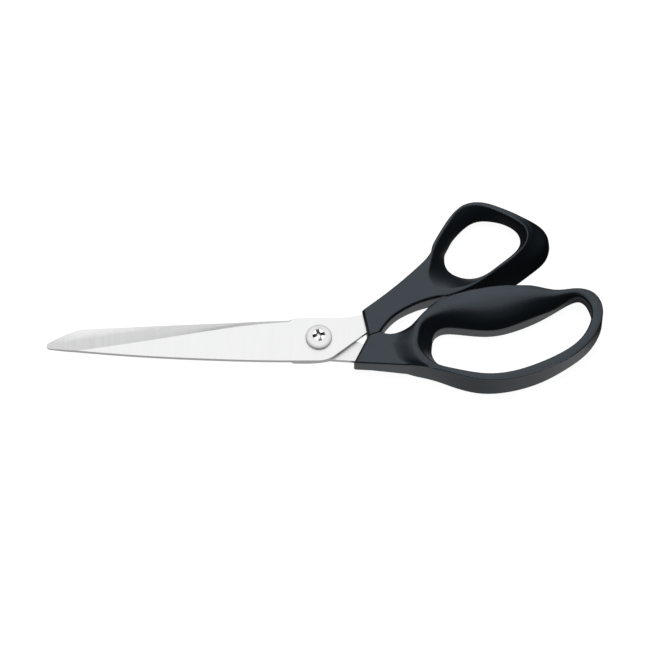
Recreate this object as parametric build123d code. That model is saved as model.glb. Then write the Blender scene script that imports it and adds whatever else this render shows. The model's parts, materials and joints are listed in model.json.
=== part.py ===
"""Fabric shears: two ground blades with moulded handles, turning on an adjustable screw.

Millimetres. The shears lie closed on the backs of their handles, with the screw head up (+Z). +X runs
from the tips to the handles and +Y is the thumb handle's side. The parts are drawn round the pivot, in
the plane where the blades meet, and moved at the end so that the origin is under the middle of the whole.
"""

from build123d import *

import math
import os

# --- Driving dimensions -------------------------------------------------------------------------
PIVOT = (-2.82, -21.2, 6.5)  # the pivot's place once the origin is under the middle of the whole
BLADE_THICKNESS = 2.2
BLADE_GAP = 0.1  # between the two inner faces

SHANK_HALF = 4.3  # half the thickness of the handle shanks
LOOP_BACK = -6.5  # back face of both loops, which the shears lie on
DRAWN_BACK = LOOP_BACK - 0.05  # the loops are drawn a little deeper and then faced off flat
SHANK_BACK = LOOP_BACK - 0.2  # and so are the shanks, where they meet the loops
BAR_FRONT = 5.6  # front face of the finger loop's plain stretch
HANDLE_GAP = 0.12  # left between the two stop faces when closed

LOCK_RADIUS = 1.75  # holes in the tangs that the moulding fills
SHOULDER_RADIUS = 3.0  # plain part of the pivot screw, on which the front blade turns
RUNNING_CLEARANCE = 0.03
HEAD_RADIUS = 6.0
HEAD_HEIGHT = 3.2
HEAD_RIM = 0.7  # straight edge under the dome
THREAD_RADIUS = 2.5  # M5
RECESS_RADIUS = 5.0  # seat of the friction washer in the rear blade
RECESS_DEPTH = 0.5
NUT_FLATS = 8.0  # across flats
NUT_HEIGHT = 2.7
SPRING_HEIGHT = 0.7
SPRING_THICKNESS = 0.4

FRONT_FACE = BLADE_GAP / 2 + BLADE_THICKNESS
REAR_FACE = -FRONT_FACE
DOWN = Vector(0, 0, -1)


def chain(*curves):
    """One closed wire from curves that meet end to end."""
    return Wire([edge for curve in curves for edge in curve.edges()])


def towards(start, end):
    """Unit vector from one point to another."""
    return (end - start).normalized()


def mirrored(direction, chord):
    """The direction in which an arc ends that leaves its chord's start in the given direction."""
    return chord * (2 * direction.dot(chord)) - direction


def mix(first, second, share):
    """What lies that share of the way from the first to the second, for points or numbers."""
    return first * (1 - share) + second * share


def plate(edges, bottom, top):
    """A flat plate between two heights, inside a chain of plan curves."""
    face = Face(chain(*edges)).moved(Location((0, 0, bottom)))
    return extrude(face, amount=top - bottom, dir=(0, 0, 1))


# --- Blades -------------------------------------------------------------------------------------
HEEL_SLOPE = math.radians(37.3)  # the line from the spine up to the tang
HEEL_ROUNDING = 4.7  # length of the rounded corner on each side of it
LEAST_GRIND = 0.35  # thickness the face grind leaves at the cutting edge
GRIND_BREAK = 0.4  # share of the grind's width at which its hollow eases
GRIND_BREAK_DROP = 0.55  # share of its depth reached there
GRIND_START_X = -13.6
GRIND_RUN_OUT = 2.2
GRIND_LEAD_IN = 1.0  # how far outside the grind its cutter starts
GRIND_OVERRUN = 6.0  # how far past the cutting edge it ends
GRIND_CLEARANCE = 0.3  # left between the cutter's last section and the blade, past the run-out
CUTTER_HEIGHT = 8.0
GRIND_WIDTHS = [(GRIND_START_X, 1.5), (-38.0, 2.95), (-62.0, 5.8), (-90.0, 9.2), (-130.0, 13.5)]
TIP_LAND = 0.2  # thickness left at the edge of the sloping tip
TIP_BEVEL_RUN = 0.75  # how far that bevel reaches in for each millimetre up
TIP_BEVEL_BULGE = 0.6  # share of the tip's bulge at which the straight bevel runs
TIP_OVERRUN = 12.0  # how far its cutter reaches past each end of the tip
TIP_CUTTER = (9.0, 6.0)  # width and height of that cutter
HOLLOW_RADIUS = 150.0  # of the inner face, so that the blades touch only along their edges
HOLLOW_DEPTH = 0.2

# Each blade is drawn lying on its inner face with its cutting edge towards +Y.
# The front blade is used as drawn, and the rear blade is turned over about the X axis.
FRONT = {
    "edge": [(-13.6, 9.26), (-61.0, 7.1), (-108.5, 4.8)],
    "tip": [(-118.0, 1.0), (-123.6, -2.4)],
    "nose": [(-124.1, -3.9), (-122.9, -5.3)],
    "spine": [(-104.5, -7.1), (-77.0, -9.25), (-50.0, -10.6), (-30.0, -11.25), (-12.0, -11.45)],
    "heel": (3.8, -11.45),
    "tang": [(22.0, 2.75), (36.0, 14.9), (46.5, 25.2), (44.0, 30.2), (32.0, 20.0), (19.3, 11.4)],
    "ricasso": [(14.0, 10.3), (2.0, 9.8)],
    "locks": [(30.0, 14.6), (39.0, 22.4)],
    "middle": -1.0,
}
REAR = {
    "edge": [(-13.6, 10.95), (-61.0, 9.5), (-108.5, 6.45)],
    "tip": [(-117.0, 5.8), (-122.4, 5.1)],
    "nose": [(-123.7, 4.0), (-123.1, 2.7)],
    "spine": [(-119.5, 0.6), (-113.5, -2.3), (-108.0, -4.35)],
    "heel": (3.4, -9.2),
    "tang": [(16.6, 0.7), (24.0, 4.2), (46.0, 5.8), (46.0, 11.0), (30.0, 11.8), (16.0, 10.65), (5.0, 9.9)],
    "ricasso": [(0.0, 10.8), (-4.5, 11.1)],
    "locks": [(27.0, 8.4), (38.0, 8.6)],
    "middle": 1.0,
}


def blade_plan(blade):
    """Plan curves of a blade: spine, heel, tang, ricasso, cutting edge, tip and nose, in that order."""
    heel_x, heel_y = blade["heel"]
    along = (math.cos(HEEL_SLOPE), math.sin(HEEL_SLOPE))
    spine_end = (heel_x - HEEL_ROUNDING, heel_y)
    heel_end = (heel_x + HEEL_ROUNDING * along[0], heel_y + HEEL_ROUNDING * along[1])
    nose_middle, nose_end = blade["nose"]
    return [
        Spline(nose_end, *blade["spine"]),
        Line(blade["spine"][-1], spine_end),
        Spline(spine_end, heel_end, tangents=[(1, 0), along]),
        Polyline(heel_end, *blade["tang"]),
        Spline(blade["tang"][-1], *blade["ricasso"], blade["edge"][0]),
        Spline(*blade["edge"]),
        Spline(blade["edge"][-1], *blade["tip"]),
        ThreePointArc(blade["tip"][-1], nose_middle, nose_end),
    ]


def edge_y(blade, x):
    """Y of the cutting edge at x, carried on straight beyond its ends."""
    (x0, y0), (x1, y1), (x2, y2) = blade["edge"]
    if x > x1:
        return y1 + (y0 - y1) * (x - x1) / (x0 - x1)
    return y1 + (y2 - y1) * (x - x1) / (x2 - x1)


def grind_section(blade, x, width):
    """Outline, across the blade at x, of the metal that the hollow face grind takes away."""
    drop = BLADE_THICKNESS - LEAST_GRIND
    edge = edge_y(blade, x)
    start = edge - width
    steepness = GRIND_BREAK_DROP * drop / (GRIND_BREAK * width)
    profile = [
        (start - GRIND_LEAD_IN, FRONT_FACE + GRIND_LEAD_IN * 1.1 * steepness),
        (start, FRONT_FACE),
        (start + GRIND_BREAK * width, FRONT_FACE - GRIND_BREAK_DROP * drop),
        (edge, FRONT_FACE - drop),
        (edge + GRIND_OVERRUN, FRONT_FACE - drop - 0.15),
    ]
    ceiling = FRONT_FACE + CUTTER_HEIGHT
    curve = Spline(*[(x, y, z) for y, z in profile])
    lid = Polyline(
        (x, *profile[-1]),
        (x, profile[-1][0], ceiling),
        (x, profile[0][0], ceiling),
        (x, *profile[0]),
    )
    return Face(chain(curve, lid))


def face_grind(blade):
    """The grind from the shoulder to the tip, with its short run-out at the shoulder."""
    sections = [grind_section(blade, x, width) for x, width in GRIND_WIDTHS]
    first_width = GRIND_WIDTHS[0][1]
    run_out = sections[0].moved(Location((GRIND_RUN_OUT, first_width + GRIND_CLEARANCE, 0)))
    return loft(sections) + loft([run_out, sections[0]], ruled=True)


def tip_bevel(blade):
    """A wedge that sharpens the sloping tip."""
    start, end = Vector(*blade["edge"][-1]), Vector(*blade["tip"][-1])
    along = towards(start, end)
    outward = Vector(along.Y, -along.X)
    bulge = (Vector(*blade["tip"][0]) - mix(start, end, 0.5)).dot(outward)
    foot = BLADE_GAP / 2 + TIP_LAND
    width, height = TIP_CUTTER
    profile = [(0, foot), (width, foot), (width, foot + height), (-height * TIP_BEVEL_RUN, foot + height)]

    def section(at):
        corner = at + outward * (bulge * TIP_BEVEL_BULGE)
        points = [corner + outward * distance + Vector(0, 0, z) for distance, z in profile]
        return Face(chain(Polyline(*points, close=True)))

    return loft([section(start - along * TIP_OVERRUN), section(end + along * TIP_OVERRUN)], ruled=True)


def ground_blade(blade):
    solid = plate(blade_plan(blade), BLADE_GAP / 2, FRONT_FACE)
    solid -= face_grind(blade)
    solid -= tip_bevel(blade)
    hollow = Cylinder(HOLLOW_RADIUS, 120, rotation=(0, 90, 0))
    centre = (-74.0, blade["middle"], BLADE_GAP / 2 + HOLLOW_DEPTH - HOLLOW_RADIUS)
    solid -= hollow.moved(Location(centre))
    for x, y in blade["locks"]:
        solid -= hole(x, y, LOCK_RADIUS)
    return solid


def hole(x, y, radius):
    """A drill through everything, along Z."""
    return Cylinder(radius, 40).moved(Location((x, y, 0)))


def front_blade():
    return ground_blade(FRONT) - hole(0, 0, SHOULDER_RADIUS + RUNNING_CLEARANCE)


def rear_blade():
    """Ground like the front blade, turned over, with a seat for the friction washer."""
    blade = ground_blade(REAR).rotate(Axis.X, 180)
    blade -= hole(0, 0, SHOULDER_RADIUS + RUNNING_CLEARANCE)
    seat = Cylinder(RECESS_RADIUS, 2 * RECESS_DEPTH).moved(Location((0, 0, -BLADE_GAP / 2)))
    return blade - seat


# --- Handles ------------------------------------------------------------------------------------
# Each loop is lofted through sections set round its hole, starting on the pivot side and going round
# by way of -Y. A section is drawn from its outer back corner, up the outer wall, over the rim and
# down into the hole. The rows give the sections that fix the shape, and smooth curves through them
# give the ones between.
STOP_INNER = (22.3, 0.3)  # ends of the faces that meet when the shears are closed
STOP_OUTER = (28.4, 2.3)
END_DRAFT = 1.0  # how far a shank's end face leans in by the front and back faces
THUMB_RIM = SHANK_HALF - 0.03  # front of the thumb loop, a hair behind its shank's face
THROAT_Z = -1.8  # narrowest level of the thumb hole
SECTIONS_ROUND_LOOP = 60
OPENING_OVERRUN = 0.2  # how far the cutter for the thumb hole reaches past the front and the back
OPENING_SHARE = 0.3  # and how far across the flat front and back of the loop, as a share of them
OPENING_BITE = 1.2  # and into the wall at the throat
RIM_ROUNDING = 0.5  # at the outer corner of the front
MOUTH_ROUNDING = 0.35  # at the inner corner of the front
THROAT_ROUNDING = 0.5  # where the front of the hole turns into its wall
BACK_ROUNDING = 0.7
BOWL_ROLL = 0.25  # how much flatter the thumb bowl starts than it goes on
RIM_FALL = 0.45  # how far the thumb rim's outer edge is lowered for each millimetre of bulge
UPPER_ROUNDING = 0.5  # along the crisp edges of the shanks
LOWER_ROUNDING = 1.2  # along the thumb shank's edge that faces the finger handle
# X where a shank's back starts to slope down, and X where it is level with the back of its loop.
THUMB_DEEPENING = (36.0, 52.0)
FINGER_DEEPENING = (24.0, 40.0)

THUMB_TABLE = [
    # outer rim, mouth edge, throat, inner back, outer back, bulge of the outer wall
    ((48.9, 33.0), (50.4, 33.0), (57.5, 40.2), (56.2, 40.6), (51.6, 37.6), 0.0),
    ((47.8, 26.0), (50.9, 27.9), (58.5, 36.5), (57.6, 34.4), (52.4, 29.4), 0.0),
    ((52.3, 20.6), (54.4, 24.2), (61.1, 33.7), (62.0, 31.2), (57.0, 22.8), 0.0),
    ((62.0, 21.2), (62.4, 23.7), (68.6, 31.3), (71.0, 28.6), (67.0, 21.4), 0.3),
    ((70.6, 25.2), (70.3, 26.3), (76.1, 33.2), (79.4, 29.9), (77.8, 23.7), 0.4),
    ((82.8, 34.1), (82.0, 35.1), (84.5, 39.4), (88.4, 35.8), (90.8, 29.8), 0.5),
    ((91.0, 40.8), (90.2, 41.8), (89.9, 44.7), (94.6, 41.8), (99.0, 36.4), 0.6),
    ((96.5, 48.3), (94.9, 48.0), (91.9, 49.4), (97.4, 47.8), (104.9, 43.9), 1.8),
    ((97.8, 55.3), (94.6, 54.0), (90.4, 53.9), (95.5, 54.8), (104.3, 53.4), 3.3),
    ((93.0, 59.8), (90.2, 58.0), (86.3, 57.2), (89.8, 59.0), (96.2, 60.0), 2.1),
    ((82.9, 64.5), (81.5, 62.5), (79.1, 59.5), (80.6, 61.6), (84.0, 63.8), 0.6),
    ((72.5, 67.2), (72.0, 65.5), (72.0, 59.4), (72.2, 61.8), (73.2, 65.8), 0.3),
    ((64.9, 65.0), (65.0, 63.9), (67.2, 56.6), (65.6, 59.0), (64.4, 62.6), 0.2),
    ((59.2, 58.7), (60.6, 58.4), (62.6, 51.7), (60.6, 53.2), (58.4, 55.6), 0.2),
    ((53.9, 49.6), (55.3, 49.2), (59.7, 47.1), (57.8, 47.6), (54.2, 47.8), 0.1),
    ((51.2, 42.4), (52.0, 40.8), (57.9, 43.5), (56.4, 44.0), (52.4, 42.6), 0.0),
]
THUMB_SHANK_TOP = [(19.7, 12.7), (32.0, 22.5), (45.0, 34.5), (50.3, 40.6), (52.4, 45.0)]
THUMB_SHANK_END = (57.0, 37.0)  # inside the loop, where the opening is cut away again
THUMB_SHANK_LOWER = [
    (57.0, 20.0), (50.7, 18.4), (44.5, 16.1), (39.1, 13.2), (33.6, 9.1), (30.3, 5.2), STOP_OUTER,
]

FINGER_SHANK_LOWER = [(15.9, -13.3), (31.5, -14.1), (39.0, -14.5), (46.0, -15.0)]
FINGER_SHANK_TOP = [(46.0, 8.9), (44.0, 7.0), (39.1, 3.3), (34.0, 1.3)]


def ring(sections):
    """A solid ring lofted through a closed round of sections."""
    return Solid.make_loft([*sections, sections[0]])


def round_loop(rows):
    """Rows spaced evenly round a loop, on smooth closed curves through the given rows.

    Every row holds points and then plain numbers. Points are carried round on periodic splines
    that share the spacing of the first column, and numbers run straight from row to row.
    """
    closed = [*rows, rows[0]]
    marks = [0.0]
    for here, there in zip(closed, closed[1:]):
        marks.append(marks[-1] + (there[1] - here[1]).length)
    marks = [mark / marks[-1] for mark in marks]
    point_columns = [i for i, value in enumerate(rows[0]) if isinstance(value, Vector)]
    curves = {
        i: Edge.make_spline([row[i] for row in rows], periodic=True, parameters=marks)
        for i in point_columns
    }
    spaced = []
    for step in range(SECTIONS_ROUND_LOOP):
        mark = step / SECTIONS_ROUND_LOOP
        index = max(i for i, m in enumerate(marks[:-1]) if m <= mark)
        share = (mark - marks[index]) / (marks[index + 1] - marks[index])
        spaced.append([
            curves[i].position_at(mark) if i in curves else mix(closed[index][i], closed[index + 1][i], share)
            for i in range(len(rows[0]))
        ])
    return spaced


def thumb_rows():
    rows = []
    for *points, bulge in THUMB_TABLE:
        heights = (THUMB_RIM - RIM_FALL * bulge, THUMB_RIM, THROAT_Z, DRAWN_BACK, DRAWN_BACK)
        rows.append([*(Vector(*point, z) for point, z in zip(points, heights)), bulge])
    return rows


def rounded_ring_section(legs, roundings):
    """A closed wire of legs joined by rounded corners.

    A leg is its points, the direction in which it leaves the first and the one in which it reaches the last.
    roundings gives how far the corner at the start of each leg eats into both its neighbours.
    """
    trimmed = []
    for i, (points, leaving, arriving) in enumerate(legs):
        start = points[0] + leaving * roundings[i]
        end = points[-1] - arriving * roundings[(i + 1) % len(legs)]
        trimmed.append([start, *points[1:-1], end])
    edges = []
    for i, (_, leaving, arriving) in enumerate(legs):
        if roundings[i]:
            before = trimmed[i - 1][-1]
            edges.append(Edge.make_spline([before, trimmed[i][0]], tangents=[legs[i - 1][2], leaving]))
        edges.append(Edge.make_spline(trimmed[i], tangents=[leaving, arriving]))
    return Wire(edges)


def straight(start, end):
    """A leg straight from one point to another."""
    return [start, end], towards(start, end), towards(start, end)


def thumb_section(rim, mouth, throat, inner_back, outer_back, bulge):
    outward = Vector(rim.X - mouth.X, rim.Y - mouth.Y, 0).normalized()
    wall_middle = (rim + outer_back) * 0.5 + outward * bulge
    slope = towards(mouth, throat)
    leave = (slope - DOWN * BOWL_ROLL).normalized()
    legs = [
        ([outer_back, wall_middle, rim], towards(outer_back, wall_middle), towards(wall_middle, rim)),
        straight(rim, mouth),
        ([mouth, throat], leave, mirrored(leave, slope)),
        straight(throat, inner_back),
        straight(inner_back, outer_back),
    ]
    front_rounding = min(RIM_ROUNDING, 0.4 * (mouth - rim).length)
    roundings = [BACK_ROUNDING, front_rounding, front_rounding, THROAT_ROUNDING, BACK_ROUNDING]
    return rounded_ring_section(legs, roundings)


def thumb_opening():
    """The space inside the thumb loop, reaching a little way into the loop's own wall."""
    levels = [[], [], []]
    for rim, mouth, throat, inner_back, outer_back, _ in thumb_rows():
        outward = Vector(rim.X - throat.X, rim.Y - throat.Y, 0).normalized()
        front = mix(mouth, rim, OPENING_SHARE)
        levels[0].append(Vector(front.X, front.Y, SHANK_HALF + OPENING_OVERRUN))
        levels[1].append(throat + outward * OPENING_BITE)
        levels[2].append(mix(inner_back, outer_back, OPENING_SHARE) + DOWN * OPENING_OVERRUN)
    faces = [Face(chain(Edge.make_spline(level, periodic=True))) for level in levels]
    return loft(faces[:2]) + loft(faces[1:])


def finger_row(rim, crest, mouth, throat, outer_back, inner_back=None, foot=None, smoothness=0.0):
    """One fixed section of the finger loop.

    foot is where the shank's face begins to rise to the rim. Without one, the outer wall goes
    straight up to the rim. smoothness is 0 for a crease at the mouth edge and 1 for none.
    """
    rim, crest, mouth, throat = Vector(*rim), Vector(*crest), Vector(*mouth), Vector(*throat)
    inner_back = Vector(*(inner_back or (throat.X, throat.Y)), DRAWN_BACK)
    outer_back = Vector(*outer_back, DRAWN_BACK)
    ramp = 1.0 if foot else 0.0
    if foot:
        foot = Vector(*foot)
    else:
        foot = rim + towards(rim, outer_back) * RIM_ROUNDING
        rim = rim + towards(rim, crest) * RIM_ROUNDING
    return [foot, rim, crest, mouth, throat, inner_back, outer_back, ramp, smoothness]


def bar_row(rim, mouth, outer_back):
    """A section of the plain stretch of the finger loop: a nearly flat front with a crisp inner edge."""
    rim, mouth = Vector(*rim, BAR_FRONT), Vector(*mouth, BAR_FRONT)
    crest = mix(rim, mouth, 0.5) + Vector(0, 0, 0.1)
    throat = mouth + towards(rim, mouth) * 0.4 + Vector(0, 0, -0.8)
    return finger_row(rim, crest, mouth, throat, outer_back)


def finger_rows():
    return [
        finger_row(
            (42.5, -2.0, 6.3), (43.9, -2.1, 6.45), (45.3, -2.2, 6.3), (51.6, -3.0, -1.0), (38.0, -2.5),
            inner_back=(51.4, -3.0), foot=(31.5, -2.5, 4.1),
        ),
        finger_row(
            (43.7, -9.2, 6.3), (45.1, -8.4, 6.4), (46.6, -7.7, 6.2), (52.0, -8.6, 0.0), (37.4, -12.8),
            foot=(34.0, -11.8, 4.1),
        ),
        finger_row(
            (48.9, -15.0, 6.1), (50.0, -13.9, 6.2), (51.2, -12.9, 6.1), (54.6, -13.4, 2.5), (48.0, -16.7),
            foot=(46.0, -15.4, 4.6),
        ),
        bar_row((61.5, -19.4), (60.9, -16.6), (61.0, -21.2)),
        bar_row((73.5, -22.2), (73.5, -19.0), (73.5, -24.4)),
        bar_row((87.0, -22.2), (86.4, -18.5), (87.8, -23.4)),
        bar_row((101.0, -18.3), (99.2, -14.5), (102.0, -18.7)),
        bar_row((114.0, -11.9), (111.5, -8.4), (114.3, -11.3)),
        bar_row((123.5, -3.6), (119.8, -1.6), (123.2, -3.6)),
        bar_row((128.7, 5.5), (124.1, 6.2), (128.4, 5.6)),
        bar_row((129.5, 14.5), (124.7, 13.2), (129.0, 14.5)),
        finger_row(
            (126.0, 20.8, 5.6), (124.0, 19.2, 5.8), (122.2, 17.6, 5.4), (121.8, 17.2, 4.0), (125.6, 21.2),
            inner_back=(121.8, 19.2), smoothness=0.2,
        ),
        finger_row(
            (118.5, 23.4, 5.6), (118.0, 21.8, 5.8), (117.4, 20.0, 5.2), (117.2, 19.2, 3.5), (118.6, 24.2),
            inner_back=(117.6, 21.2), smoothness=0.5,
        ),
        finger_row(
            (109.0, 22.5, 5.8), (109.3, 20.6, 6.2), (109.6, 17.6, 4.8), (109.2, 15.0, 1.6), (109.0, 22.0),
            inner_back=(109.6, 17.0), smoothness=1,
        ),
        finger_row(
            (99.0, 24.2, 6.0), (98.9, 21.2, 6.8), (99.4, 15.6, 5.4), (99.7, 10.9, 1.4), (99.0, 22.0),
            smoothness=1,
        ),
        finger_row(
            (87.0, 24.5, 6.2), (86.4, 19.8, 7.3), (85.9, 11.0, 5.6), (85.7, 5.3, 1.2), (87.0, 21.8),
            smoothness=1,
        ),
        finger_row(
            (73.5, 22.9, 6.4), (73.2, 17.4, 7.5), (72.8, 9.6, 5.8), (72.5, 4.0, 1.2), (73.5, 20.0),
            smoothness=1,
        ),
        finger_row(
            (60.7, 19.2, 6.4), (60.9, 14.7, 7.3), (60.2, 9.8, 6.0), (59.9, 5.2, 1.2), (60.7, 16.5),
            smoothness=1,
        ),
        finger_row(
            (50.6, 13.7, 6.2), (51.2, 11.4, 6.7), (52.2, 8.6, 6.2), (54.4, 4.0, 1.0), (51.0, 11.6),
            foot=(49.2, 12.9, 5.0), smoothness=0.8,
        ),
        finger_row(
            (44.6, 6.2, 6.3), (45.7, 5.4, 6.5), (46.9, 4.6, 6.3), (52.2, 1.4, -0.6), (40.5, 4.5),
            foot=(38.5, 2.4, 4.1), smoothness=0.2,
        ),
    ]


def finger_section(foot, rim, crest, mouth, throat, inner_back, outer_back, ramp, smoothness):
    ramp_start = Vector(rim.X - foot.X, rim.Y - foot.Y, 0).normalized()
    climb = mix(towards(outer_back, foot), ramp_start, ramp)
    over = mix(towards(rim, crest), towards(foot, rim), ramp)
    straight_in = towards(crest, throat)
    arrive = mix(towards(crest, mouth), straight_in, smoothness).normalized()
    leave = mix(towards(mouth, throat), straight_in, smoothness).normalized()
    legs = [
        straight(outer_back, foot),
        ([foot, rim], climb, over),
        ([rim, crest, mouth], towards(rim, crest), arrive),
        ([mouth, throat], leave, mirrored(leave, towards(mouth, throat))),
        straight(throat, inner_back),
        straight(inner_back, outer_back),
    ]
    throat_rounding = min(THROAT_ROUNDING, 0.4 * (mouth - throat).length)
    return rounded_ring_section(legs, [BACK_ROUNDING, 0, 0, MOUTH_ROUNDING, throat_rounding, BACK_ROUNDING])


def shank(outline, end_x, deepening):
    """A shank, from plan curves paired with the rounding of their front and back edges.

    Its end face, beyond end_x towards the pivot, leans in towards the front and the back. Its back slopes
    down to the loop's back between the two values of deepening.
    """
    slope_start, slope_end = deepening
    body = plate([curve for curve, _ in outline], SHANK_BACK, SHANK_HALF)
    below = Polyline(
        (0, -SHANK_HALF), (slope_start, -SHANK_HALF), (slope_end, SHANK_BACK), (slope_end, -20), (0, -20),
        close=True,
    )
    body -= extrude(Plane.XZ * make_face(below), amount=100, both=True)

    def rims():
        """Edges of the front and the back, apart from those that cross the back."""
        return [edge for edge in body.edges() if abs((edge % 0.5).Z) < 0.5]

    ends = [e for e in rims() if e.center().X < end_x and e.geom_type == GeomType.LINE]
    body = chamfer(ends, length=END_DRAFT)
    for curve, rounding in outline:
        if rounding:
            body = fillet([e for e in rims() if lies_along(e, curve)], rounding)
    return body


def lies_along(edge, curve):
    """Whether an edge runs above or below a plan curve, or close to it."""
    points = [edge @ share for share in (0.3, 0.5, 0.7)]
    return all(curve.distance_to(Vector(p.X, p.Y, 0)) < 0.05 for p in points)


def faced_off(body):
    """The body with everything behind the back plane cut away."""
    return body - Box(400, 400, 10).moved(Location((0, 0, LOOP_BACK - 5)))


def thumb_handle(tang):
    body = shank(
        [
            (Spline(*THUMB_SHANK_TOP), UPPER_ROUNDING),
            (Polyline(THUMB_SHANK_TOP[-1], THUMB_SHANK_END, THUMB_SHANK_LOWER[0]), 0),
            (Spline(*THUMB_SHANK_LOWER), LOWER_ROUNDING),
            (Polyline(STOP_OUTER, STOP_INNER, THUMB_SHANK_TOP[0]), 0),
        ],
        end_x=21.5,
        deepening=THUMB_DEEPENING,
    )
    sections = [thumb_section(*row) for row in round_loop(thumb_rows())]
    return faced_off(body - thumb_opening() + ring(sections)) - tang


def finger_handle(tang):
    stop_outer = (STOP_OUTER[0], STOP_OUTER[1] - HANDLE_GAP)
    stop_inner = (STOP_INNER[0], STOP_INNER[1] - HANDLE_GAP)
    body = shank(
        [
            (Spline(*FINGER_SHANK_LOWER), UPPER_ROUNDING),
            (Line(FINGER_SHANK_LOWER[-1], FINGER_SHANK_TOP[0]), 0),
            (Spline(*FINGER_SHANK_TOP, stop_outer), UPPER_ROUNDING),
            (Polyline(stop_outer, stop_inner, FINGER_SHANK_LOWER[0]), 0),
        ],
        end_x=20.5,
        deepening=FINGER_DEEPENING,
    )
    sections = [finger_section(*row) for row in round_loop(finger_rows())]
    return faced_off(body + ring(sections)) - tang


# --- Pivot --------------------------------------------------------------------------------------
SPRING_FACE = REAR_FACE - SPRING_HEIGHT
NUT_FACE = SPRING_FACE - NUT_HEIGHT
HEAD_CLEARANCE = 0.02  # under the screw's head
SHOULDER_SHORT = 0.1  # how far short of the rear blade's outer face the shoulder stops
THREAD_OUT = 0.4  # how far the thread's end stands out of the nut, and its chamfer
DOME = [(0.91, 0.28), (0.56, 0.74)]  # shares of the head's radius and of the dome's height
CROSS_TURN = 14.0  # how the cross recess happens to stand, in degrees
CROSS_DEPTH = 2.0
CROSS_MOUTH = (6.8, 1.7)  # span and width of each slot at the top, and at the floor
CROSS_FLOOR = (2.6, 1.1)
CROSS_CONE = (0.6, 1.4)  # radii of the cone in the middle, at the floor and at the top
NUT_TURN = 12.0
NUT_CHAMFER = 0.45


def pivot_screw():
    """Domed cross-recess head on a plain shoulder, then a threaded end that the nut holds."""
    head_z = FRONT_FACE + HEAD_CLEARANCE
    top = head_z + HEAD_HEIGHT
    shoulder_end = REAR_FACE + SHOULDER_SHORT
    thread_end = NUT_FACE - THREAD_OUT
    rim_top = head_z + HEAD_RIM
    underside = Polyline(
        (0, 0, top),
        (0, 0, thread_end),
        (THREAD_RADIUS - THREAD_OUT, 0, thread_end),
        (THREAD_RADIUS, 0, thread_end + THREAD_OUT),
        (THREAD_RADIUS, 0, shoulder_end),
        (SHOULDER_RADIUS, 0, shoulder_end),
        (SHOULDER_RADIUS, 0, head_z),
        (HEAD_RADIUS - 0.2, 0, head_z),
        (HEAD_RADIUS, 0, head_z + 0.2),
        (HEAD_RADIUS, 0, rim_top),
    )
    dome = Spline(
        (HEAD_RADIUS, 0, rim_top),
        *[(out * HEAD_RADIUS, 0, mix(rim_top, top, up)) for out, up in DOME],
        (0, 0, top),
        tangents=[(0, 0, 1), (-1, 0, 0)],
    )
    screw = revolve(Face(chain(underside, dome)), Axis.Z)

    floor = top - CROSS_DEPTH
    screw -= Cone(*CROSS_CONE, CROSS_DEPTH).moved(Location((0, 0, floor + CROSS_DEPTH / 2)))
    for turn in (CROSS_TURN, CROSS_TURN + 90):
        deep = Plane(origin=(0, 0, floor)) * Rectangle(*CROSS_FLOOR)
        wide = Plane(origin=(0, 0, top + 0.1)) * Rectangle(*CROSS_MOUTH)
        screw -= loft([deep.face(), wide.face()]).rotate(Axis.Z, turn)
    return screw


def friction_washer():
    """Thin slip washer in the rear blade's seat, standing just proud enough to part the blades."""
    low = -BLADE_GAP / 2 - RECESS_DEPTH
    high = BLADE_GAP / 2 - 0.01
    disc = Cylinder(RECESS_RADIUS - 0.1, high - low).moved(Location((0, 0, (low + high) / 2)))
    return disc - hole(0, 0, SHOULDER_RADIUS + 0.1)


def spring_washer():
    """Three-wave spring washer between the rear blade and the nut."""
    inner, outer, waves = THREAD_RADIUS + 0.2, 4.6, 3
    middle = (REAR_FACE + SPRING_FACE) / 2
    swing = (SPRING_HEIGHT - SPRING_THICKNESS) / 2 - 0.01
    steps = 12

    def wave(radius, offset):
        angles = [2 * math.pi * i / steps for i in range(steps)]
        points = [
            Vector(radius * math.cos(a), radius * math.sin(a), middle + offset + swing * math.cos(waves * a))
            for a in angles
        ]
        return Edge.make_spline(points, periodic=True)

    half = SPRING_THICKNESS / 2
    edges = [wave(inner, -half), wave(outer, -half), wave(outer, half), wave(inner, half)]
    faces = [Face.make_surface_from_curves(a, b) for a, b in zip(edges, edges[1:] + edges[:1])]
    return Solid(Shell(faces))


def pivot_nut():
    """Low hexagon nut with its outer rim chamfered, its bore running on the screw's thread."""
    nut = extrude(RegularPolygon(NUT_FLATS / 2, 6, major_radius=False), NUT_HEIGHT)
    corner = NUT_FLATS / 2 / math.cos(math.pi / 6)
    trim = Cone(corner + NUT_HEIGHT * 1.7, corner - NUT_CHAMFER, NUT_HEIGHT)
    nut &= trim.moved(Location((0, 0, NUT_HEIGHT / 2)))
    nut = nut.rotate(Axis.X, 180).rotate(Axis.Z, NUT_TURN).moved(Location((0, 0, SPRING_FACE)))
    return nut - hole(0, 0, THREAD_RADIUS + RUNNING_CLEARANCE)


def main():
    os.makedirs("parts", exist_ok=True)
    front, rear = front_blade(), rear_blade()
    nodes = {
        "front_blade": front,
        "rear_blade": rear,
        "thumb_handle": thumb_handle(front),
        "finger_handle": finger_handle(rear),
        "pivot_screw": pivot_screw(),
        "friction_washer": friction_washer(),
        "spring_washer": spring_washer(),
        "pivot_nut": pivot_nut(),
    }
    for name, shape in nodes.items():
        export_step(shape.moved(Location(PIVOT)), f"parts/{name}.step")


main()
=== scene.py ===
"""Looks of the fabric shears: satin black handles, ground steel blades and a polished screw.

Lengths are in metres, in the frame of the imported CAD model. The blades, screw, washers and nut are
shown as packed. The two handles are remade from their CAD meshes as one smooth moulding each.
"""

import json
import math

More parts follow.
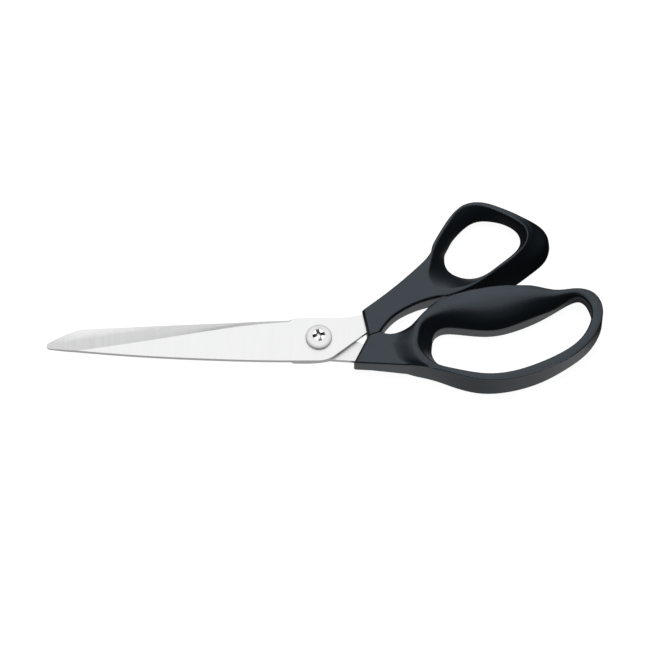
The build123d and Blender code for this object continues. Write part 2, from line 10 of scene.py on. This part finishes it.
import bmesh
import bpy
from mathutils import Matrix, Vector


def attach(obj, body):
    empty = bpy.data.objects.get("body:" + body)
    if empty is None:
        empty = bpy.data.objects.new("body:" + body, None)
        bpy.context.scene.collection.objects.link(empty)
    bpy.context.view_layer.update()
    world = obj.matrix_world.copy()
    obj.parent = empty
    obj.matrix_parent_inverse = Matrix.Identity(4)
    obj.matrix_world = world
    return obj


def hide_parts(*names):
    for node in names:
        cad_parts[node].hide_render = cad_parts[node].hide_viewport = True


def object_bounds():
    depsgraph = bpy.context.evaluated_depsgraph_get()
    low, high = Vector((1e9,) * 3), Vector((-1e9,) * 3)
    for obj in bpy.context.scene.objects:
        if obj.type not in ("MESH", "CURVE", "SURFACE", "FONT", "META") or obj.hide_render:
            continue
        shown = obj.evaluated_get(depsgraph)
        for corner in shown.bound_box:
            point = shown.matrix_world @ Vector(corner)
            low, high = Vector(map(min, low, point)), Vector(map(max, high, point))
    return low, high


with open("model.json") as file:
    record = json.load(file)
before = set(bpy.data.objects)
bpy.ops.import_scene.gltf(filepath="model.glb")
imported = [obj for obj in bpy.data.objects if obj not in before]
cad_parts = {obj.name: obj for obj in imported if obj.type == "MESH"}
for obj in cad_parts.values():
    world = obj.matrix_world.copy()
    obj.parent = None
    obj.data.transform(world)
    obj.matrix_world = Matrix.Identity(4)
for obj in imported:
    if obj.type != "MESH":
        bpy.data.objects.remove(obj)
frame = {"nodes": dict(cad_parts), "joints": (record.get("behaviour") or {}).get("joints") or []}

MM = 0.001
CAD_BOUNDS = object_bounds()
PIVOT = next(joint for joint in frame["joints"] if joint["name"] == "blade_pivot")["pos_m"]


# --- Shader graphs ------------------------------------------------------------------------------
class Graph:
    """The shader nodes of one material. Most methods return an output socket."""

    def __init__(self, name):
        self.material = bpy.data.materials.new(name)
        self.material.use_nodes = True
        self.tree = self.material.node_tree
        self.tree.nodes.clear()
        coordinates = self.tree.nodes.new("ShaderNodeTexCoord")
        self.position = coordinates.outputs["Object"]
        self.normal = coordinates.outputs["Normal"]

    def put(self, socket, value):
        """Feeds an input socket with another node's output, a colour or a number."""
        if isinstance(value, bpy.types.NodeSocket):
            self.tree.links.new(value, socket)
        elif socket.type == "RGBA":
            socket.default_value = (*value, 1.0)
        else:
            socket.default_value = value

    def node(self, kind, inputs, output=0, **settings):
        made = self.tree.nodes.new("ShaderNode" + kind)
        for name, value in settings.items():
            setattr(made, name, value)
        for key, value in inputs.items():
            self.put(made.inputs[key], value)
        return made.outputs[output]

    def maths(self, operation, first, second=0.0):
        return self.node("Math", {0: first, 1: second}, operation=operation)

    def plus(self, first, second):
        return self.maths("ADD", first, second)

    def times(self, first, second):
        return self.maths("MULTIPLY", first, second)

    def ramp(self, value, low, high, start=0.0, end=1.0):
        """Goes smoothly from start to end as value goes from low to high."""
        inputs = {0: value, 1: low, 2: high, 3: start, 4: end}
        return self.node("MapRange", inputs, interpolation_type="SMOOTHSTEP")

    def blend(self, share, first, second):
        """The first colour, or the second where share is 1."""
        return self.node("Mix", {0: share, 6: first, 7: second}, output=2, data_type="RGBA")

    def between(self, share, first, second):
        """The first number, or the second where share is 1."""
        return self.node("Mix", {0: share, 2: first, 3: second})

    def noise(self, position, scale, detail=2.0, roughness=0.5):
        inputs = {"Vector": position, "Scale": scale, "Detail": detail, "Roughness": roughness}
        return self.node("TexNoise", inputs)

    def streaks(self, scales, turn=0.0, detail=2.0, roughness=0.5):
        """Noise with its own scale along each axis, turned about Z by an angle in degrees."""
        angle = math.radians(turn)
        turned = self.node("Mapping", {"Vector": self.position, "Rotation": (0, 0, angle)})
        stretched = self.node("Mapping", {"Vector": turned, "Scale": scales})
        return self.noise(stretched, 1.0, detail, roughness)

    def rings(self, per_millimetre, detail):
        """Noise in rings about the pivot."""
        inputs = {"W": self.times(self.radius(), per_millimetre), "Detail": detail}
        return self.node("TexNoise", inputs, noise_dimensions="1D")

    def axis(self, vector, name):
        return self.node("SeparateXYZ", {0: vector}, output=name)

    def radius(self):
        """Distance from the pivot's axis, in millimetres."""
        centre = (-PIVOT[0], -PIVOT[1], 0)
        inputs = {"Vector": self.position, "Location": centre, "Scale": (1, 1, 0)}
        centred = self.node("Mapping", inputs)
        length = self.node("VectorMath", {0: centred}, output="Value", operation="LENGTH")
        return self.maths("DIVIDE", length, MM)

    def levelness(self):
        """1 on faces square to Z and 0 on upright walls."""
        return self.maths("ABSOLUTE", self.axis(self.normal, "Z"))

    def openness(self, millimetres):
        """1 where nothing stands within that distance of the surface, and less in a corner."""
        return self.node("AmbientOcclusion", {"Distance": millimetres * MM}, output="AO")

    def height(self, value, millimetres, strength=1.0):
        """A bump of that height for value going from 0 to 1."""
        return self.node("Bump", {"Height": value, "Distance": millimetres * MM, "Strength": strength})

    def principled(self, **inputs):
        """Ends the graph in a Principled shader. Input names have underscores for spaces."""
        named = {name.replace("_", " "): value for name, value in inputs.items()}
        return self.end(self.node("BsdfPrincipled", named))

    def end(self, surface):
        """Sends a shader to the material's surface. Returns the material."""
        output = self.tree.nodes.new("ShaderNodeOutputMaterial")
        self.tree.links.new(surface, output.inputs["Surface"])
        return self.material


# --- Materials ----------------------------------------------------------------------------------
def handle_plastic(name):
    """Satin black moulding: a fine spark-eroded grain on flat faces, smoother where it is sculpted."""
    black = (0.0060, 0.0085, 0.0115), (0.0080, 0.0110, 0.0150)
    grain_peaks = (0.020, 0.022, 0.025)
    rubbed_edges = (0.040, 0.041, 0.043)
    cool_sheen = (0.76, 0.88, 1.0)

    graph = Graph(name)
    flat = graph.ramp(graph.levelness(), 0.97, 0.998)
    grain = graph.noise(graph.position, 4200, detail=1.5, roughness=0.6)
    clouds = graph.noise(graph.position, 55, detail=3)
    sharp = graph.ramp(graph.node("NewGeometry", {}, output="Pointiness"), 0.52, 0.60)
    worn = graph.ramp(graph.noise(graph.position, 260), 0.42, 0.68)

    colour = graph.blend(clouds, *black)
    colour = graph.blend(graph.times(grain, graph.times(flat, 0.5)), colour, grain_peaks)
    colour = graph.blend(graph.times(graph.times(sharp, worn), 0.4), colour, rubbed_edges)
    roughness = graph.plus(graph.ramp(flat, 0, 1, 0.40, 0.45), graph.times(clouds, 0.06))
    grain_strength = graph.ramp(flat, 0, 1, 0.25, 1.0)
    return graph.principled(
        Base_Color=colour, Roughness=roughness, Normal=graph.height(grain, 0.024, grain_strength),
        Specular_IOR_Level=0.85, Specular_Tint=cool_sheen,
    )


def blade_steel(name):
    """Stainless steel: ground across the flats and slantwise on the bevels, with painted shade on the
    walls.
    """
    flats = (0.84, 0.84, 0.84), (0.94, 0.94, 0.94)
    bevels = (0.54, 0.54, 0.545), (0.82, 0.82, 0.82)
    blotch = (0.70, 0.71, 0.72)
    painted_wall_shade = (0.50, 0.50, 0.505)
    corner_shade = (0.04, 0.04, 0.042)
    painted_bevel_sheen = (0.86, 0.86, 0.86)

    graph = Graph(name)
    level = graph.levelness()
    flat = graph.ramp(level, 0.985, 0.9995)
    wall = graph.ramp(level, 0.1, 0.5, 1.0, 0.0)
    steep_bevel = graph.times(graph.ramp(level, 0.35, 0.6), graph.ramp(level, 0.70, 0.95, 1.0, 0.0))
    across = graph.streaks((9000, 220, 220), detail=4, roughness=0.7)
    slanted = graph.streaks((260, 5200, 5200), turn=-24, detail=4, roughness=0.65)
    broad = graph.streaks((700, 60, 60))
    blotches = graph.noise(graph.position, 70, detail=4, roughness=0.6)
    lines = graph.between(flat, slanted, across)
    tone = graph.plus(graph.times(lines, 0.6), graph.times(broad, 0.4))
    cornered = graph.ramp(graph.openness(3.0), 0.6, 1.0, 0.95, 0.0)

    colour = graph.blend(flat, graph.blend(tone, *bevels), graph.blend(tone, *flats))
    colour = graph.blend(graph.times(blotches, 0.12), colour, blotch)
    # Painted shade: upright walls are darkened, and more so in corners next to other parts.
    colour = graph.blend(graph.times(wall, 0.8), colour, painted_wall_shade)
    colour = graph.blend(graph.times(cornered, wall), colour, corner_shade)
    # Painted sheen: steep bevels get a lighter, less metallic colour that stands in for reflected
    # light.
    colour = graph.blend(graph.times(steep_bevel, 0.7), colour, painted_bevel_sheen)
    metallic = graph.ramp(steep_bevel, 0, 1, 1.0, 0.15)
    roughness = graph.plus(graph.ramp(flat, 0, 1, 0.40, 0.34), graph.times(lines, 0.10))
    return graph.principled(
        Base_Color=colour, Metallic=metallic, Roughness=roughness,
        Normal=graph.height(lines, 0.004, 0.5), Anisotropic=0.4,
    )


def turned_steel(name):
    """Polished steel with faint rings from the lathe, less metallic and with painted shade round the
    head's rim.
    """
    polished = (0.80, 0.80, 0.795), (0.88, 0.88, 0.875)
    painted_rim_shade = (0.38, 0.38, 0.385)
    recess_shade = (0.16, 0.16, 0.165)
    rim_begins, rim_ends = 4.4, 5.9  # millimetres from the screw's axis

    graph = Graph(name)
    rings = graph.rings(9.0, 3.0)
    smudge = graph.noise(graph.position, 420, detail=3)
    radius = graph.radius()
    sunk = graph.ramp(graph.openness(2.2), 0.55, 0.95, 0.85, 0.0)

    colour = graph.blend(smudge, *polished)
    # Painted shade: the head darkens towards its rim.
    colour = graph.blend(graph.ramp(radius, rim_begins, rim_ends, 0.0, 0.65), colour, painted_rim_shade)
    colour = graph.blend(sunk, colour, recess_shade)
    return graph.principled(
        Base_Color=colour, Metallic=graph.ramp(radius, rim_begins, rim_ends, 1.0, 0.4),
        Roughness=graph.plus(0.24, graph.times(rings, 0.14)), Normal=graph.height(rings, 0.006, 0.6),
    )


def spring_steel(name):
    """Oil-hardened spring steel: dark, with straw and blue heat tints."""
    straw, blue = (0.15, 0.14, 0.13), (0.24, 0.25, 0.28)
    graph = Graph(name)
    tint = graph.noise(graph.position, 320, detail=3)
    scratches = graph.streaks((900, 5200, 900), turn=30, detail=3)
    return graph.principled(
        Base_Color=graph.blend(tint, straw, blue), Metallic=1.0,
        Roughness=graph.plus(0.28, graph.times(scratches, 0.2)), Normal=graph.height(scratches, 0.003),
    )


def nut_steel(name):
    """Bright zinc plating over turned steel."""
    zinc = (0.66, 0.68, 0.70), (0.78, 0.79, 0.80)
    graph = Graph(name)
    rings = graph.rings(6.0, 2.0)
    crystals = graph.node("TexVoronoi", {"Vector": graph.position, "Scale": 1500.0})
    return graph.principled(
        Base_Color=graph.blend(crystals, *zinc), Metallic=1.0,
        Roughness=graph.plus(0.30, graph.times(crystals, 0.15)), Normal=graph.height(rings, 0.005, 0.5),
    )


def nylon(name):
    """Natural white nylon, faintly cloudy and slightly see-through to light."""
    milky = (0.72, 0.70, 0.64), (0.82, 0.80, 0.75)
    graph = Graph(name)
    clouds = graph.noise(graph.position, 600, detail=3)
    return graph.principled(
        Base_Color=graph.blend(clouds, *milky), Roughness=graph.ramp(clouds, 0, 1, 0.38, 0.52),
        Normal=graph.height(clouds, 0.005, 0.6), Subsurface_Weight=0.2, Subsurface_Scale=0.5 * MM,
    )


def paint(obj, material):
    """Gives every face of an object the same material."""
    obj.data.materials.clear()
    obj.data.materials.append(material)
    for face in obj.data.polygons:
        face.material_index = 0


# --- Handles ------------------------------------------------------------------------------------
WELD_GAP = 0.002 * MM
VOXEL = 0.25 * MM
SOFTENING_STEPS = 6
MOST_TRIANGLES = 180000


def settle(obj):
    """Applies an object's modifiers."""
    shaped = obj.evaluated_get(bpy.context.evaluated_depsgraph_get())
    mesh = bpy.data.meshes.new_from_object(shaped)
    obj.modifiers.clear()
    obj.data = mesh


def island_from(start):
    """All the vertices that edges join to a vertex, itself among them."""
    island = [start]
    reached = {start}
    for vertex in island:
        for edge in vertex.link_edges:
            neighbour = edge.other_vert(vertex)
            if neighbour not in reached:
                reached.add(neighbour)
                island.append(neighbour)
    return island


def drop_flecks(mesh):
    """Leaves only the largest island of a mesh. Remeshing can leave flecks beside a thin edge."""
    shape = bmesh.new()
    shape.from_mesh(mesh)
    islands = []
    placed = set()
    for vertex in shape.verts:
        if vertex not in placed:
            island = island_from(vertex)
            placed.update(island)
            islands.append(island)
    islands.sort(key=len)
    flecks = [vertex for island in islands[:-1] for vertex in island]
    bmesh.ops.delete(shape, geom=flecks, context="VERTS")
    shape.to_mesh(mesh)
    shape.free()


def moulded(node, body, material):
    """A handle's CAD shape as one evenly meshed moulding, with its sharp joins softened."""
    source = frame["nodes"][node]
    piece = bpy.data.objects.new(node + "_moulding", source.data.copy())
    bpy.context.scene.collection.objects.link(piece)
    weld = piece.modifiers.new("weld", "WELD")
    weld.merge_threshold = WELD_GAP
    skin = piece.modifiers.new("skin", "REMESH")
    skin.mode = "VOXEL"
    skin.voxel_size = VOXEL
    skin.use_smooth_shade = True
    soften = piece.modifiers.new("soften", "SMOOTH")
    soften.factor = 0.5
    soften.iterations = SOFTENING_STEPS
    settle(piece)
    triangles = 2 * len(piece.data.polygons)
    thin = piece.modifiers.new("thin", "DECIMATE")
    thin.ratio = min(1.0, MOST_TRIANGLES / triangles)
    settle(piece)
    drop_flecks(piece.data)
    paint(piece, material)
    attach(piece, body)
    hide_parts(node)
    return piece


# --- Floor --------------------------------------------------------------------------------------
FLOOR_REACH = 3.0
FLOOR_PAPER = (0.34, 0.34, 0.34), (0.36, 0.36, 0.36)
FLOOR_GLOW = 0.95  # light the floor gives to the camera, so that it looks white there
POOL_SHINE = 0.68  # light the floor gives to reflections, close to the shears
POOL_DIM = 0.05  # share of that light left far from them
POOL_NEAR = 16 * MM  # distance outside the shears' box at which the pool of light begins to fade
POOL_FAR = 44 * MM
CORNER_NEAR = 85 * MM  # x + y at which the pool begins to fade beyond the thumb loop
CORNER_FAR = 120 * MM
LOW_DIM = 0.1  # share of the light that leaves the floor at a low angle


def pool_of_light(graph):
    """1 on the floor under and close to the shears, and dimmer further out."""
    along = graph.axis(graph.position, "X")
    across = graph.axis(graph.position, "Y")
    pool = 1.0
    for value, low, high in zip((along, across), *CAD_BOUNDS):
        middle = (low + high) / 2
        half = (high - low) / 2
        outward = graph.maths("ABSOLUTE", graph.maths("SUBTRACT", value, middle))
        fade = graph.ramp(outward, half + POOL_NEAR, half + POOL_FAR, 1.0, POOL_DIM)
        pool = graph.times(pool, fade)
    corner = graph.ramp(graph.plus(along, across), CORNER_NEAR, CORNER_FAR, 1.0, POOL_DIM)
    return graph.times(pool, corner)


def floor():
    """A plain pale floor. The camera sees it white, and reflections see a pool of light on it."""
    mesh = bpy.data.meshes.new("floor")
    corners = [(-1, -1), (1, -1), (1, 1), (-1, 1)]
    mesh.from_pydata([(x * FLOOR_REACH, y * FLOOR_REACH, 0) for x, y in corners], [], [(0, 1, 2, 3)])
    obj = bpy.data.objects.new("floor", mesh)
    bpy.context.scene.collection.objects.link(obj)

    graph = Graph("floor_paper")
    seen = graph.node("LightPath", {}, output="Is Camera Ray")
    paper = graph.blend(graph.noise(graph.position, 8, detail=3), *FLOOR_PAPER)
    pool = pool_of_light(graph)
    diffuse = graph.node("BsdfDiffuse", {"Color": graph.blend(seen, (0.0, 0.0, 0.0), paper)})
    steepness = graph.axis(graph.node("NewGeometry", {}, output="Incoming"), "Z")
    angled = graph.times(pool, graph.ramp(steepness, 0.3, 0.85, LOW_DIM, 1.0))
    shine = graph.times(angled, POOL_SHINE)
    strength = graph.between(seen, shine, FLOOR_GLOW)
    glow = graph.node("Emission", {"Color": (1, 1, 1), "Strength": strength})
    obj.data.materials.append(graph.end(graph.node("AddShader", {0: diffuse, 1: glow})))
    return obj


# --- Light and camera ---------------------------------------------------------------------------
ROOM_COLOUR = (0.95, 0.97, 1.0, 1.0)
ROOM_LIGHT = 0.03
VIEW_ELEVATION = 66.0  # degrees
VIEW_DISTANCE = 9.0
PICTURE_WIDTH = 0.29667  # how much of the object's plane the picture's width shows
AIM_BEHIND_PIVOT = 7.245 * MM
SENSOR = 36.0  # millimetres, as the lens is


def softbox(name, lean, distance, size, radiance, lit, tint=(1, 1, 1)):
    """A rectangular lamp aimed at the origin, leaning from straight up towards +Y by lean degrees.

    It lights only the objects in lit.
    """
    lamp = bpy.data.lights.new(name, "AREA")
    lamp.shape = "RECTANGLE"
    width, length = size
    lamp.size = width
    lamp.size_y = length
    lamp.energy = radiance * math.pi * width * length
    lamp.color = tint
    obj = bpy.data.objects.new(name, lamp)
    angle = math.radians(lean)
    obj.location = Vector((0, math.sin(angle), math.cos(angle))) * distance
    obj.rotation_euler = (-angle, 0, 0)
    bpy.context.scene.collection.objects.link(obj)
    group = bpy.data.collections.new(name + "_lights")
    for receiver in lit:
        group.objects.link(receiver)
    obj.light_linking.receiver_collection = group


def room():
    """A faint cool light from all around."""
    world = bpy.data.worlds.new("room")
    world.use_nodes = True
    background = world.node_tree.nodes["Background"]
    background.inputs["Color"].default_value = ROOM_COLOUR
    background.inputs["Strength"].default_value = ROOM_LIGHT
    bpy.context.scene.world = world


def camera():
    """A long lens in front of the shears, looking steeply down."""
    low, high = CAD_BOUNDS
    aim = Vector(((low.x + high.x) / 2, PIVOT[1] + AIM_BEHIND_PIVOT, PIVOT[2]))
    lift = math.radians(VIEW_ELEVATION)
    towards_camera = Vector((0, -math.cos(lift), math.sin(lift)))
    data = bpy.data.cameras.new("camera")
    data.sensor_width = SENSOR
    data.lens = SENSOR * VIEW_DISTANCE / PICTURE_WIDTH
    obj = bpy.data.objects.new("camera", data)
    obj.location = aim + towards_camera * VIEW_DISTANCE
    obj.rotation_euler = (math.radians(90 - VIEW_ELEVATION), 0, 0)
    bpy.context.scene.collection.objects.link(obj)
    bpy.context.scene.camera = obj


# --- The whole ----------------------------------------------------------------------------------
def build():
    black = handle_plastic("handle_black")
    handles = [
        moulded("thumb_handle", "thumb_half", black),
        moulded("finger_handle", "finger_half", black),
    ]

    steel = blade_steel("blade_ground")
    finishes = {
        "front_blade": steel,
        "rear_blade": steel,
        "pivot_screw": turned_steel("screw_turned"),
        "friction_washer": nylon("washer_natural"),
        "spring_washer": spring_steel("spring_tempered"),
        "pivot_nut": nut_steel("nut_plated"),
    }
    for node, material in finishes.items():
        paint(frame["nodes"][node], material)

    room()
    metal = [frame["nodes"][node] for node in finishes]
    screw = frame["nodes"]["pivot_screw"]
    softbox(
        "key", lean=28, distance=1.3, size=(0.8, 1.7), radiance=2.0,
        lit=[*handles, screw, floor()], tint=(0.99, 0.995, 1.0),
    )
    softbox("tent", lean=15, distance=0.9, size=(4.0, 5.0), radiance=1.0, lit=metal)
    camera()
    bpy.context.scene.view_settings.view_transform = "Standard"


build()
